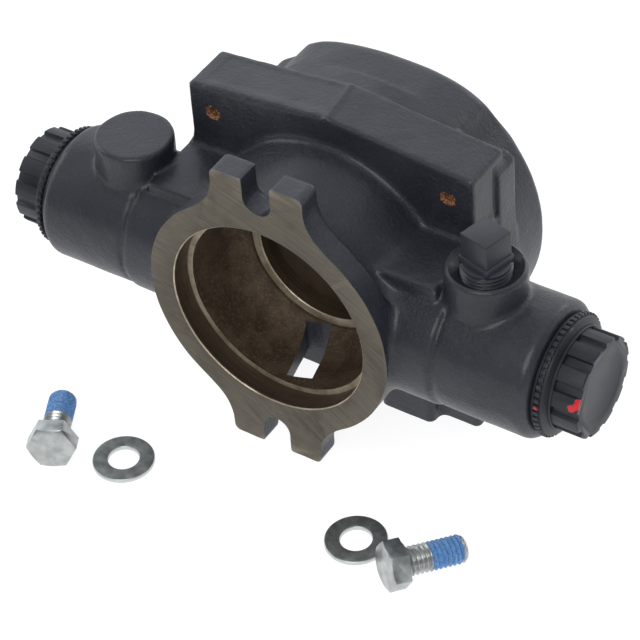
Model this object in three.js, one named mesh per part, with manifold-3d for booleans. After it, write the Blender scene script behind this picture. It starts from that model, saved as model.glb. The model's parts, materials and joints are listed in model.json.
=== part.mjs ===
// Motor-mounted internal gear pump: motor side towards -Y, ports left and right along X, +Z up.
// Millimetres. The origin is the middle of the foot pad's underside, on the surface it stands on.
import * as THREE from 'three';
import * as BufferGeometryUtils from 'three/addons/utils/BufferGeometryUtils.js';
import Module from 'manifold-3d';

const wasm = await Module();
wasm.setup();

// Driving dimensions. The pump axis is x = 0, z = 0 and the motor face is y = 0 while pieces are made.
const axisHeight = 56.4;
const footMiddleY = 50;
const gap = 0.3;

// Machined motor end
const faceRadius = 44.8;
const faceThickness = 9.4;
const registerRadius = 35.5;
const registerDepth = 7.7;
const earHalfWidth = 16.9;
const earReach = 55.9;
const earFillet = 8;
const slotHalfWidth = 5.2;
const slotEndRadius = 43.4;

// Dry chamber between motor and seal, its floor rounded into its wall, and the window in its underside
const drumRadius = 38.7;
const chamberRadius = 33.5;
const chamberCornerY = 21.5;
const chamberCorner = 11.5;
const recessRadius = 24.2;
const recessDepth = 39.6;
const windowHalfWidth = 4.4;
const windowFrontY = 11.2;
const windowBackY = 32;
const windowSkew = 14;

// Ports
const portAxisY = 25.7;
const portAxisZ = -1.35;
const hubRadius = 22.9;
const hubEndX = 91.6;
const hubEdge = 3.4;
const collarRadius = 23.4;
const collarEndX = 58;
const portBoreRadius = 14.9;
const portBoreFloorX = 48.4;
const passageRadius = 7.2;
const passageEndX = 29;
const passageEndY = 76;

// Gauge bosses on top of the hubs
const bossX = 65.8;
const bossRadius = 13.1;
const bossTopZ = 31.5;
const gaugeHoleRadius = 8.6;
const gaugeMouthRadius = 10.5;
const gaugeMouthDepth = 1.6;

// Block behind the motor end, with the name pad on top, the shelf in front of it and the foot below
const blockHalfWidth = 52.9;
const blockFrontY = 39.8;
const flangeFrontY = 60.3;
const padUndersideZ = 25.8;
const padEndZ = 48;
const padRidgeZ = 53.1;
const shelfHalfWidth = 54;
const shelfFrontY = 14.6;
const shelfTopZ = 24;
const footTopZ = -25.6;
const footLugX = [18.4, 38.7];
const footLugFrontY = 34;
const pinHoleX = 43.9;
const pinHoleZ = 38.5;
const pinHoleRadius = 1.6;
const pinHoleDepth = 6;

// Pumping casing and its head
const casingRadius = 54.2;
const casingTopZ = 48.7;
const flangeHalfWidth = 53.9;
const flangeBackY = 64.8;
const flangeTopZ = 42.5;
const casingBackY = 86;
const casingDome = [[54.2, 79.5], [53.2, 81], [49.6, 83.6], [45.5, casingBackY]];
const gasketThickness = 0.6;
const headFrontY = casingBackY + gasketThickness + 2 * gap;
const headSeatY = 89;
const headBackY = 94;
const headRadius = 39.6;
const headDome = [[headRadius, 90.5], [38, 92.3], [34, 93.6], [30, headBackY]];
const scallopRadius = 12.4;
const scallopOffset = 64.6;
const headScrewCount = 8;
const headScrewCircle = 35.8;
const headScrewRadius = 2.5;
const headScrewLength = 14;
const headScrewFlats = 8;
const headScrewHeadHeight = 2.4;
const spotFaceRadius = 5.2;

// Gear set
const pumpChamberY = 68;
const rotorRadius = 31.6;
const rotorChamberRadius = 32;
const rotorPlateBackY = 72.2;
const gearBackY = headFrontY - 1.3;
const rotorTeeth = 12;
const idlerTeeth = 9;
const gearModule = 3.75;
const pressureAngle = THREE.MathUtils.degToRad(25);
const gearOffset = (rotorTeeth - idlerTeeth) * gearModule / 2;
const idlerTipRadius = idlerTeeth * gearModule / 2 + gearModule;
const idlerRootRadius = idlerTeeth * gearModule / 2 - 1.1 * gearModule;
const rotorTipRadius = rotorTeeth * gearModule / 2 - 0.75 * gearModule;
const rotorSlotHalfWidth = 2.5;
const crescentHalfWidth = 15.5;
const crescentTopZ = -4;
const idlerPinRadius = 5.3;
const idlerPinSeatY = headBackY - 2.5;
const idlerBushRadius = 7.8;
const runningClearance = 0.1;

// Shaft, key, seal and bearing
const shaftRadius = 9.2;
const shaftFrontY = 37.4;
const shaftEdge = 0.8;
const motorBoreRadius = 6.35;
const motorBoreDepth = 16;
const motorKeyWay = { halfWidth: 1.6, depth: 14, topZ: 8 };
const keyHalfWidth = 2;
const keyBottomZ = 7.5;
const keyTopZ = 11.3;
const bushingRadius = 12.6;
const sealCavityRadius = 15.1;
const sealCavityFrontY = 42.4;
const sealFaceBackY = 45;
const springFrontY = 45.6;
const springBackY = 47.7;
const springWireRadius = 0.45;
const springCoilRadius = 11.6;
const springTurns = 1.75;
const collarFrontY = 48.3;
const collarBackY = 50.4;
const bushingFrontY = 50.7;

// Thread protectors in the ports
const plugSkirtRadii = [19.9, 20.6];
const plugSkirtRibs = 48;
const plugSkirtLength = 3.1;
const plugNeckRadius = 18;
const plugNeckLength = 1.5;
const plugGripRadii = [14.7, 16.4];
const plugGripSides = 12;
const plugLength = 14.6;
const plugTailLength = 13.5;
const plugHollowRadius = 11.8;
const plugRecessRadius = 12.2;
const plugRecessDepth = 0.4;

// Gauge plug
const gaugeThreadRadius = 8.3;
const gaugeThreadFloorZ = 17.4;
const gaugeSquareBaseZ = 33.4;
const gaugePlugTopZ = 44.7;
const gaugeSquareFlats = 11.1;
const gaugeSquareTurn = THREE.MathUtils.degToRad(-14);

// Loose mounting hardware
const boltShankRadius = 4.76;
const boltShankLength = 21;
const boltHeadFlats = 14.6;
const boltHeadHeight = 6;
const washerOuterRadius = 10.3;
const washerInnerRadius = 5.15;
const washerThickness = 1.65;

function finish(color, roughness, metalness) {
  return new THREE.MeshStandardMaterial({ color, roughness, metalness });
}
const slatePaint = finish('#3d3f47', 0.45, 0.2);
const steel = finish('#8b8d8f', 0.35, 0.9);
const zinc = finish('#a8acab', 0.3, 0.9);
const carbon = finish('#26272a', 0.5, 0.1);
const bronze = finish('#9a7440', 0.4, 0.9);
const ceramic = finish('#d9d4c6', 0.3, 0);
const gasketFibre = finish('#6b5d4a', 0.9, 0);
const paintedPlastic = finish('#3c3f47', 0.5, 0);

// Closed three.js geometry to a solid, with its faces pointing out
function solid(geometry) {
  let source = geometry.index ? geometry.toNonIndexed() : geometry;
  source.deleteAttribute('normal');
  source.deleteAttribute('uv');
  source = BufferGeometryUtils.mergeVertices(source, 1e-4);
  const place = source.attributes.position;
  const corners = [];
  let volume = 0;
  const [a, b, c] = [new THREE.Vector3(), new THREE.Vector3(), new THREE.Vector3()];
  for (let i = 0; i < source.index.count; i += 3) {
    const trio = [source.index.getX(i), source.index.getX(i + 1), source.index.getX(i + 2)];
    if (new Set(trio).size < 3) continue;
    a.fromBufferAttribute(place, trio[0]);
    b.fromBufferAttribute(place, trio[1]);
    c.fromBufferAttribute(place, trio[2]);
    volume += a.dot(b.cross(c));
    corners.push(trio);
  }
  const triVerts = Uint32Array.from(corners.flatMap((trio) => (volume < 0 ? trio.reverse() : trio)));
  return new wasm.Manifold(new wasm.Mesh({ numProp: 3, vertProperties: place.array, triVerts }));
}

function piece(name, body, material) {
  const made = body.getMesh();
  const geometry = new THREE.BufferGeometry();
  geometry.setAttribute('position', new THREE.BufferAttribute(made.vertProperties, 3));
  geometry.setIndex(new THREE.BufferAttribute(made.triVerts, 1));
  geometry.computeVertexNormals();
  const mesh = new THREE.Mesh(geometry, material);
  mesh.name = name;
  return mesh;
}

function join(...bodies) {
  return bodies.reduce((whole, body) => whole.add(body));
}

function cut(body, ...tools) {
  return tools.reduce((rest, tool) => rest.subtract(tool), body);
}

// Round bar along Y, X or Z
function barY(radius, y0, y1, x = 0, z = 0, sides = 48) {
  return solid(new THREE.CylinderGeometry(radius, radius, y1 - y0, sides).translate(x, (y0 + y1) / 2, z));
}

function barX(radius, x0, x1, y, z, sides = 44) {
  const bar = new THREE.CylinderGeometry(radius, radius, x1 - x0, sides).rotateZ(-Math.PI / 2);
  return solid(bar.translate((x0 + x1) / 2, y, z));
}

function barZ(radius, z0, z1, x, y, sides = 32) {
  const bar = new THREE.CylinderGeometry(radius, radius, z1 - z0, sides).rotateX(Math.PI / 2);
  return solid(bar.translate(x, y, (z0 + z1) / 2));
}

function block(x0, x1, y0, y1, z0, z1) {
  const box = new THREE.BoxGeometry(x1 - x0, y1 - y0, z1 - z0);
  return solid(box.translate((x0 + x1) / 2, (y0 + y1) / 2, (z0 + z1) / 2));
}

// Ring about the pump axis, or about a parallel axis
function ring(outer, inner, y0, y1, sides = 32, x = 0, z = 0) {
  return barY(outer, y0, y1, x, z, sides).subtract(barY(inner, y0 - 1, y1 + 1, x, z, sides));
}

// Solid of revolution about Y from [radius, y] points that start and end on the axis
function turned(profile, sides = 48) {
  return solid(new THREE.LatheGeometry(profile.map(([r, y]) => new THREE.Vector2(r, y)), sides));
}

// Outline in the X-Z plane, made solid from y0 to y1
function plate(outline, y0, y1, curveSegments = 16) {
  const slab = new THREE.ExtrudeGeometry(outline, { depth: y1 - y0, bevelEnabled: false, curveSegments });
  return solid(slab.rotateX(Math.PI / 2).translate(0, y1, 0));
}

function polygon(points) {
  return new THREE.Shape(points.map(([x, z]) => new THREE.Vector2(x, z)));
}

// Quarter arc of an edge rounding, from the side (radius, y) towards the end
function edgeArc(radius, y, edge, steps = 3) {
  return Array.from({ length: steps + 1 }, (_, i) => {
    const turn = i / steps * Math.PI / 2;
    return [radius - edge + edge * Math.cos(turn), y - edge + edge * Math.sin(turn)];
  });
}

// Motor face: a disc with two pairs of ears, each pair the sides of an open bolt slot
function facePlate() {
  const filletX = earHalfWidth + earFillet;
  const filletZ = Math.sqrt((faceRadius + earFillet) ** 2 - filletX ** 2);
  const meet = Math.atan2(filletZ, filletX);
  const slotZ = slotEndRadius + slotHalfWidth;
  const shape = new THREE.Shape();
  shape.moveTo(earHalfWidth, earReach);
  shape.lineTo(slotHalfWidth, earReach);
  shape.absarc(0, slotZ, slotHalfWidth, 0, -Math.PI, true);
  shape.lineTo(-slotHalfWidth, earReach);
  shape.lineTo(-earHalfWidth, earReach);
  shape.absarc(-filletX, filletZ, earFillet, 0, -meet, true);
  shape.absarc(0, 0, faceRadius, Math.PI - meet, Math.PI + meet, false);
  shape.absarc(-filletX, -filletZ, earFillet, meet, 0, true);
  shape.lineTo(-earHalfWidth, -earReach);
  shape.lineTo(-slotHalfWidth, -earReach);
  shape.absarc(0, -slotZ, slotHalfWidth, Math.PI, 0, true);
  shape.lineTo(slotHalfWidth, -earReach);
  shape.lineTo(earHalfWidth, -earReach);
  shape.absarc(filletX, -filletZ, earFillet, Math.PI, Math.PI - meet, true);
  shape.absarc(0, 0, faceRadius, -meet, meet, false);
  shape.absarc(filletX, filletZ, earFillet, Math.PI + meet, Math.PI, true);
  return plate(shape, 0, faceThickness, 12);
}

// One port hub with its gauge boss; side is -1 for the left port and 1 for the right
function portHub(side) {
  const profile = [[0, 0], [hubRadius, 0], ...edgeArc(hubRadius, hubEndX, hubEdge), [0, hubEndX]];
  const hub = turned(profile, 44).rotate([0, 0, -90 * side]).translate([0, portAxisY, portAxisZ]);
  const collarEnds = [0, side * collarEndX].sort((p, q) => p - q);
  const collar = barX(collarRadius, ...collarEnds, portAxisY, portAxisZ);
  const boss = barZ(bossRadius, 0, bossTopZ, side * bossX, portAxisY);
  return join(hub, collar, boss);
}

// Port thread bore and the slanting passage from its floor to the side of the pumping chamber
function portWay(side) {
  const ends = [side * portBoreFloorX, side * (hubEndX + 1)].sort((p, q) => p - q);
  const bore = barX(portBoreRadius, ...ends, portAxisY, portAxisZ, 32);
  const from = new THREE.Vector3(side * (portBoreFloorX + 6), portAxisY + 2, portAxisZ);
  const to = new THREE.Vector3(side * passageEndX, passageEndY, 0);
  const along = to.clone().sub(from);
  const way = new THREE.CylinderGeometry(passageRadius, passageRadius, along.length(), 20);
  way.applyQuaternion(new THREE.Quaternion().setFromUnitVectors(new THREE.Vector3(0, 1, 0), along.normalize()));
  const middle = from.add(to).multiplyScalar(0.5);
  return bore.add(solid(way.translate(middle.x, middle.y, middle.z)));
}

function scallops(y0, y1) {
  return [45, 135, 225, 315].map((angle) => {
    const turn = THREE.MathUtils.degToRad(angle);
    return barY(scallopRadius, y0, y1, scallopOffset * Math.cos(turn), scallopOffset * Math.sin(turn), 20);
  });
}

// Centres of the head screws, on a circle that clears the scallops
function headScrewPlaces() {
  return Array.from({ length: headScrewCount }, (_, i) => {
    const turn = (i + 0.5) / headScrewCount * 2 * Math.PI;
    return [headScrewCircle * Math.cos(turn), headScrewCircle * Math.sin(turn)];
  });
}

function headScrewHoles(y0, y1) {
  return headScrewPlaces().map(([x, z]) => barY(headScrewRadius + gap, y0, y1, x, z, 12));
}

// The pumping casing's outer shape: round, flat on top, scalloped at its four corners and domed at its rear
function casing() {
  const round = turned([[0, flangeFrontY], [casingRadius, flangeFrontY], ...casingDome, [0, casingBackY]], 72);
  const belowTop = block(-casingRadius, casingRadius, flangeFrontY, casingBackY, -casingRadius, casingTopZ);
  return cut(round.intersect(belowTop), ...scallops(flangeBackY, casingBackY + 1));
}

// The main casting: motor end, dry chamber, ports, name pad, foot and pumping casing
function pumpBody() {
  const pad = polygon([
    [-blockHalfWidth, padUndersideZ], [blockHalfWidth, padUndersideZ],
    [blockHalfWidth, padEndZ], [0, padRidgeZ], [-blockHalfWidth, padEndZ],
  ]);
  const footLugs = [-1, 1].map((side) => {
    const reach = footLugX.map((x) => side * x).sort((p, q) => p - q);
    return block(...reach, footLugFrontY, blockFrontY + 1, -axisHeight, footTopZ);
  });
  const outside = join(
    facePlate(),
    barY(drumRadius, faceThickness - 1, blockFrontY + 2),
    plate(pad, blockFrontY, flangeFrontY + 1),
    block(-shelfHalfWidth, shelfHalfWidth, shelfFrontY, blockFrontY + 1, 0, shelfTopZ),
    block(-blockHalfWidth, blockHalfWidth, blockFrontY, flangeFrontY + 1, -axisHeight, padUndersideZ + 1),
    ...footLugs,
    block(-flangeHalfWidth, flangeHalfWidth, flangeFrontY, flangeBackY, -axisHeight, flangeTopZ),
    casing(),
    portHub(-1),
    portHub(1),
  );
  const gaugeHole = barZ(gaugeHoleRadius, 0, bossTopZ + 1, bossX, portAxisY)
    .add(barZ(gaugeMouthRadius, bossTopZ - gaugeMouthDepth, bossTopZ + 1, bossX, portAxisY));
  const corner = edgeArc(chamberRadius, chamberCornerY + chamberCorner, chamberCorner, 4);
  const chamber = turned([[0, registerDepth - 1], [chamberRadius, registerDepth - 1], ...corner,
    [0, chamberCornerY + chamberCorner]], 60);
  const windowLength = windowBackY - windowFrontY;
  const window = block(-windowHalfWidth, windowHalfWidth, -windowLength / 2, windowLength / 2,
    -drumRadius - 1, chamberRadius * -0.6)
    .rotate([0, 0, windowSkew]).translate([0, (windowFrontY + windowBackY) / 2, 0]);
  const pinHoles = [-1, 1].map((side) => barY(pinHoleRadius, blockFrontY - 1,
    blockFrontY + pinHoleDepth, side * pinHoleX, pinHoleZ, 16));
  return cut(outside,
    barY(registerRadius, -1, registerDepth, 0, 0, 72),
    chamber,
    barY(recessRadius, chamberCornerY, recessDepth),
    barY(bushingRadius + gap, recessDepth - 1, pumpChamberY + 1, 0, 0, 32),
    barY(sealCavityRadius, sealCavityFrontY, bushingFrontY, 0, 0, 32),
    barY(rotorChamberRadius, pumpChamberY, casingBackY + 1, 0, 0, 60),
    window, portWay(-1), portWay(1), gaugeHole,
    ...pinHoles, ...headScrewHoles(headSeatY - headScrewLength, casingBackY + 1));
}

// Rear cover with the crescent that fills the space between the two gears
function rearHead() {
  const cover = turned([[0, headFrontY], [headRadius, headFrontY], ...headDome, [0, headBackY]], 60);
  const crescentReach = rotorPlateBackY + gap;
  const crescent = barY(rotorTipRadius - gap, crescentReach, headFrontY + 1, 0, 0, 60)
    .subtract(barY(idlerTipRadius + gap, crescentReach - 1, headFrontY, 0, gearOffset, 60))
    .intersect(block(-crescentHalfWidth, crescentHalfWidth, crescentReach, headFrontY + 1, -rotorTipRadius,
      crescentTopZ));
  const spotFaces = headScrewPlaces().map(([x, z]) => barY(spotFaceRadius, headSeatY, headBackY + 1, x, z, 16));
  const pinHole = barY(idlerPinRadius + gap, headFrontY - 1, idlerPinSeatY, 0, gearOffset, 24);
  return cut(join(cover, crescent), ...spotFaces, ...headScrewHoles(headFrontY - 1, headBackY), pinHole);
}

function headGasket() {
  const [front, back] = [casingBackY + gap, casingBackY + gap + gasketThickness];
  return cut(ring(headRadius, rotorChamberRadius + 1, front, back, 60), ...headScrewHoles(front - 1, back + 1));
}

// Hexagon-head screw along +Y, its head's underside at y = 0 and its shank towards -Y
function hexScrew(shankRadius, shankLength, flats, headHeight) {
  const corner = flats / Math.sqrt(3);
  const head = solid(new THREE.CylinderGeometry(corner, corner, headHeight, 6).translate(0, headHeight / 2, 0));
  const round = turned([[0, -1], [corner, -1], [corner, headHeight - corner / 7],
    [corner * 0.84, headHeight], [0, headHeight]], 24);
  const shank = turned([[0, -shankLength], [shankRadius * 0.8, -shankLength],
    [shankRadius, -shankLength + shankRadius * 0.2], [shankRadius, 0.5], [0, 0.5]], 18);
  return head.intersect(round).add(shank);
}

// Involute outline of the small gear, one flank pair for each tooth
function idlerOutline() {
  const pitchRadius = idlerTeeth * gearModule / 2;
  const baseRadius = pitchRadius * Math.cos(pressureAngle);
  const involute = (radius) => {
    const angle = Math.acos(Math.min(1, baseRadius / radius));
    return Math.tan(angle) - angle;
  };
  const halfTooth = Math.PI / 2 / idlerTeeth + involute(pitchRadius) - 0.02;
  const startRadius = Math.max(baseRadius, idlerRootRadius);
  const flankSteps = 4;
  const flank = Array.from({ length: flankSteps + 1 }, (_, i) => {
    const radius = startRadius + (idlerTipRadius - startRadius) * i / flankSteps;
    return [radius, halfTooth - involute(radius)];
  });
  flank.unshift([idlerRootRadius, halfTooth + 0.06]);
  const points = [];
  for (let tooth = 0; tooth < idlerTeeth; tooth += 1) {
    const middle = tooth / idlerTeeth * 2 * Math.PI + Math.PI / 2;
    for (const [radius, half] of flank) points.push([radius, middle - half]);
    for (const [radius, half] of [...flank].reverse()) points.push([radius, middle + half]);
  }
  return points.map(([radius, angle]) => [radius * Math.cos(angle), radius * Math.sin(angle)]);
}

function idlerGear() {
  const gear = plate(polygon(idlerOutline()), rotorPlateBackY + gap, gearBackY);
  return gear.translate([0, 0, gearOffset]).subtract(
    barY(idlerBushRadius + gap, rotorPlateBackY - 1, headFrontY, 0, gearOffset, 24));
}

// Space that the idler's teeth sweep in the rotor, as a radius for each direction around the rotor
function sweptRadii(directions, phases) {
  const outline = idlerOutline();
  const reach = new Array(directions).fill(rotorTipRadius);
  for (let phase = 0; phase < phases; phase += 1) {
    const rotorTurn = phase / phases * 2 * Math.PI / rotorTeeth;
    const idlerTurn = rotorTurn * rotorTeeth / idlerTeeth;
    outline.forEach(([x0, z0], i) => {
      const [x1, z1] = outline[(i + 1) % outline.length];
      for (let part = 0; part < 1; part += 0.1) {
        const [x, z] = [x0 + (x1 - x0) * part, z0 + (z1 - z0) * part];
        const worldX = x * Math.cos(idlerTurn) - z * Math.sin(idlerTurn);
        const worldZ = x * Math.sin(idlerTurn) + z * Math.cos(idlerTurn) + gearOffset;
        const angle = Math.atan2(worldZ, worldX) - rotorTurn;
        const slot = Math.round(angle / (2 * Math.PI) * directions);
        const radius = Math.hypot(worldX, worldZ);
        for (const near of [-1, 0, 1]) {
          const folded = (((slot + near) % directions) + directions) % directions;
          reach[folded] = Math.max(reach[folded], radius + gap / 2);
        }
      }
    });
  }
  const pitch = directions / rotorTeeth;
  const everyPitch = Array.from({ length: rotorTeeth }, (_, k) => k * pitch);
  return reach.map((_, i) => Math.max(...everyPitch.map((step) => reach[(i + step) % directions])));
}

// Driven gear: a disc with a ring of teeth pointing inwards, open between the teeth to its outside
function rotor() {
  const directions = rotorTeeth * 14;
  const inside = sweptRadii(directions, 48).map((radius, i) => {
    const angle = i / directions * 2 * Math.PI;
    return [radius * Math.cos(angle), radius * Math.sin(angle)];
  });
  const teeth = barY(rotorRadius, rotorPlateBackY - 1, gearBackY, 0, 0, 60)
    .subtract(plate(polygon(inside), rotorPlateBackY, gearBackY + 1));
  const windows = Array.from({ length: rotorTeeth }, (_, i) => {
    const slot = block(-rotorSlotHalfWidth, rotorSlotHalfWidth, rotorPlateBackY, gearBackY + 1,
      rotorTipRadius, rotorRadius + 1);
    return slot.rotate([0, i / rotorTeeth * 360, 0]);
  });
  const disc = barY(rotorRadius, pumpChamberY + gap, rotorPlateBackY, 0, 0, 60);
  const keyWay = block(-keyHalfWidth - gap, keyHalfWidth + gap, pumpChamberY, rotorPlateBackY + 1,
    0, keyTopZ + gap);
  return cut(disc.add(cut(teeth, ...windows)),
    barY(shaftRadius + gap, pumpChamberY, rotorPlateBackY + 1, 0, 0, 32), keyWay);
}

// Hollow shaft: the motor's shaft and key slide into its front end
function pumpShaft() {
  const bar = turned([[0, shaftFrontY], [shaftRadius - shaftEdge, shaftFrontY],
    [shaftRadius, shaftFrontY + shaftEdge], [shaftRadius, rotorPlateBackY - gap], [0, rotorPlateBackY - gap]], 32);
  const bore = barY(motorBoreRadius, shaftFrontY - 1, shaftFrontY + motorBoreDepth, 0, 0, 28);
  const { halfWidth, depth, topZ } = motorKeyWay;
  return cut(bar, bore,
    block(-halfWidth, halfWidth, shaftFrontY - 1, shaftFrontY + depth, 0, topZ),
    block(-keyHalfWidth - gap, keyHalfWidth + gap, pumpChamberY, rotorPlateBackY,
      keyBottomZ - gap, shaftRadius + 1));
}

// Coil spring between the seal's collar and its running face
function sealSpring() {
  class Helix extends THREE.Curve {
    getPoint(t, target = new THREE.Vector3()) {
      const angle = t * springTurns * 2 * Math.PI;
      const y = springFrontY + (springBackY - springFrontY) * t;
      return target.set(springCoilRadius * Math.cos(angle), y, springCoilRadius * Math.sin(angle));
    }
  }
  const section = new THREE.Shape().absarc(0, 0, springWireRadius, 0, 2 * Math.PI);
  return solid(new THREE.ExtrudeGeometry(section, {
    steps: springTurns * 24, extrudePath: new Helix(), bevelEnabled: false, curveSegments: 2,
  }));
}

// Closed outline that steps between two radii, twice for each of its sides
function lobed([inner, outer], sides) {
  return polygon(Array.from({ length: 2 * sides }, (_, i) => {
    const [angle, radius] = [i / sides * Math.PI, i % 2 ? outer : inner];
    return [radius * Math.cos(angle), radius * Math.sin(angle)];
  }));
}

// Thread protector: a ribbed skirt against the hub, a neck and a twelve-sided grip
function portPlug(side) {
  const seat = hubEndX + gap;
  const neck = seat + plugSkirtLength;
  const end = seat + plugLength;
  const whole = join(
    plate(lobed(plugSkirtRadii, plugSkirtRibs / 2), seat, neck),
    barY(plugNeckRadius, neck - 1, neck + plugNeckLength, 0, 0, 36),
    plate(lobed(plugGripRadii, plugGripSides), neck, end),
    barY(portBoreRadius - gap, seat - plugTailLength, seat + 1, 0, 0, 32),
  );
  const hollow = cut(whole, barY(plugHollowRadius, seat - plugTailLength - 1, seat + 1, 0, 0, 28),
    barY(plugRecessRadius, end - plugRecessDepth, end + 1, 0, 0, 28));
  return hollow.rotate([0, 0, -90 * side]).translate([0, portAxisY, portAxisZ]);
}

// Square-head pipe plug
function gaugePlug() {
  const thread = barZ(gaugeThreadRadius, gaugeThreadFloorZ, gaugeSquareBaseZ, bossX, portAxisY, 28);
  const height = gaugePlugTopZ - gaugeSquareBaseZ + 1;
  const square = new THREE.BoxGeometry(gaugeSquareFlats, gaugeSquareFlats, height).rotateZ(gaugeSquareTurn);
  return thread.add(solid(square.translate(bossX, portAxisY, gaugePlugTopZ - height / 2)));
}

// Mounting bolt lying on the ground, head at (x, y) and shank pointing along heading
function looseBolt(x, y, heading) {
  const bolt = hexScrew(boltShankRadius, boltShankLength, boltHeadFlats, boltHeadHeight);
  const lean = Math.atan2(boltHeadFlats / 2 - boltShankRadius, boltShankLength);
  const lie = bolt.rotate([0, 90, 0]).rotate([THREE.MathUtils.radToDeg(lean), 0, 0])
    .rotate([0, 0, THREE.MathUtils.radToDeg(heading) + 90]);
  const rise = -lie.boundingBox().min[2];
  return lie.translate([x, y, rise - axisHeight]);
}

function looseWasher(x, y) {
  return barZ(washerOuterRadius, -axisHeight, washerThickness - axisHeight, x, y, 36)
    .subtract(barZ(washerInnerRadius, -axisHeight - 1, washerThickness - axisHeight + 1, x, y, 28));
}

const group = new THREE.Group();
group.add(
  piece('pump_body', pumpBody(), slatePaint),
  piece('rear_head', rearHead(), slatePaint),
  piece('head_gasket', headGasket(), gasketFibre),
  ...headScrewPlaces().map(([x, z], i) => {
    const screw = hexScrew(headScrewRadius, headScrewLength, headScrewFlats, headScrewHeadHeight);
    return piece(`head_screw_${i + 1}`, screw.translate([x, headSeatY + gap, z]), steel);
  }),
  piece('rotor', rotor(), steel),
  piece('idler_gear', idlerGear(), steel),
  piece('idler_bush', ring(idlerBushRadius, idlerPinRadius + runningClearance, rotorPlateBackY + gap, gearBackY,
    28, 0, gearOffset), carbon),
  piece('idler_pin', barY(idlerPinRadius, rotorPlateBackY + gap, idlerPinSeatY - gap, 0, gearOffset, 28),
    steel),
  piece('pump_shaft', pumpShaft(), steel),
  piece('rotor_key', block(-keyHalfWidth, keyHalfWidth, pumpChamberY + gap, rotorPlateBackY - 2 * gap,
    keyBottomZ, keyTopZ), steel),
  piece('shaft_bush', ring(bushingRadius, shaftRadius + runningClearance, bushingFrontY + gap,
    pumpChamberY - gap), bronze),
  piece('seal_seat', ring(bushingRadius, shaftRadius + gap, recessDepth + gap, sealCavityFrontY - gap),
    ceramic),
  piece('seal_face', ring(bushingRadius, shaftRadius + gap, sealCavityFrontY, sealFaceBackY), carbon),
  piece('seal_spring', sealSpring(), steel),
  piece('seal_collar', ring(bushingRadius, shaftRadius + gap, collarFrontY, collarBackY), bronze),
  piece('port_plug_left', portPlug(-1), paintedPlastic),
  piece('port_plug_right', portPlug(1), paintedPlastic),
  piece('gauge_plug', gaugePlug(), slatePaint),
  piece('mount_bolt_left', looseBolt(-62.4, -38.6, Math.atan2(23.5, -12.5)), zinc),
  piece('mount_bolt_right', looseBolt(66.2, -29.9, Math.atan2(22.6, 16.1)), zinc),
  piece('mount_washer_left', looseWasher(-40.6, -30.6), zinc),
  piece('mount_washer_right', looseWasher(45.1, -23.8), zinc),
);
group.position.set(0, -footMiddleY, axisHeight);

export default group;
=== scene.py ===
import json
import math

import bpy
import numpy as np
from mathutils import Matrix, Vector


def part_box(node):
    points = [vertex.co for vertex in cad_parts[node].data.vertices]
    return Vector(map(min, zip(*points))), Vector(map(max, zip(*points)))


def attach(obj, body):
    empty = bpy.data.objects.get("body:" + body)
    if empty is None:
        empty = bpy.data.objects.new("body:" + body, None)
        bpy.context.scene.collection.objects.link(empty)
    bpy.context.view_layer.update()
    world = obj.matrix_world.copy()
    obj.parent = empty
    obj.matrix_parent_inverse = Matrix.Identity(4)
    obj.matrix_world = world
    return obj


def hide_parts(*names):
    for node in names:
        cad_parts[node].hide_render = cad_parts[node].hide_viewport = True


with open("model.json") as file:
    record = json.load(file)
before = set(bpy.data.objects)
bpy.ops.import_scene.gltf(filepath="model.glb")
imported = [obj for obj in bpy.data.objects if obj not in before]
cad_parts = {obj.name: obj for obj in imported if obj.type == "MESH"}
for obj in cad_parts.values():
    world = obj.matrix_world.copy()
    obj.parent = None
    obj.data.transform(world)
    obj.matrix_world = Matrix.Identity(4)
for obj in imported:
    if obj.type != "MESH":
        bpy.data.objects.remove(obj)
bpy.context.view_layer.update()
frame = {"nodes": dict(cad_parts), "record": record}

# ---- Floor, light and camera ----
# A lit white floor under the pump, weak soft boxes behind and overhead, stronger fills to the left and in
# front, and a room that is bright behind the pump and dark in front of it.
# The camera stands to the right of the motor face and looks down at it from about a metre away.
MM = 0.001
RECORD = frame["record"]
JOINTS = {joint["name"]: joint for joint in RECORD["behaviour"]["joints"]}
body_low, body_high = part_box("pump_body")
PUMP = Vector((0, body_low.y, JOINTS["rotor_spin"]["pos_m"][2]))  # pump axis at the motor face
FACE_Y = PUMP.y / MM
COOL = (0.86, 0.92, 1)


def pale_floor():
    floor = bpy.data.objects.new("floor", bpy.data.meshes.new("floor"))
    reach = 3
    floor.data.from_pydata([(-reach, -reach, 0), (reach, -reach, 0), (reach, reach, 0), (-reach, reach, 0)],
                           [], [(0, 1, 2, 3)])
    bpy.context.collection.objects.link(floor)
    return floor


def soft_box(name, place, target, size, watts, colour=(1, 1, 1)):
    light = bpy.data.lights.new(name, "AREA")
    light.shape = "DISK"
    light.size = size
    light.energy = watts
    light.color = colour
    holder = bpy.data.objects.new(name, light)
    holder.location = place
    holder.rotation_euler = (Vector(target) - Vector(place)).to_track_quat("-Z", "Y").to_euler()
    bpy.context.collection.objects.link(holder)


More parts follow.
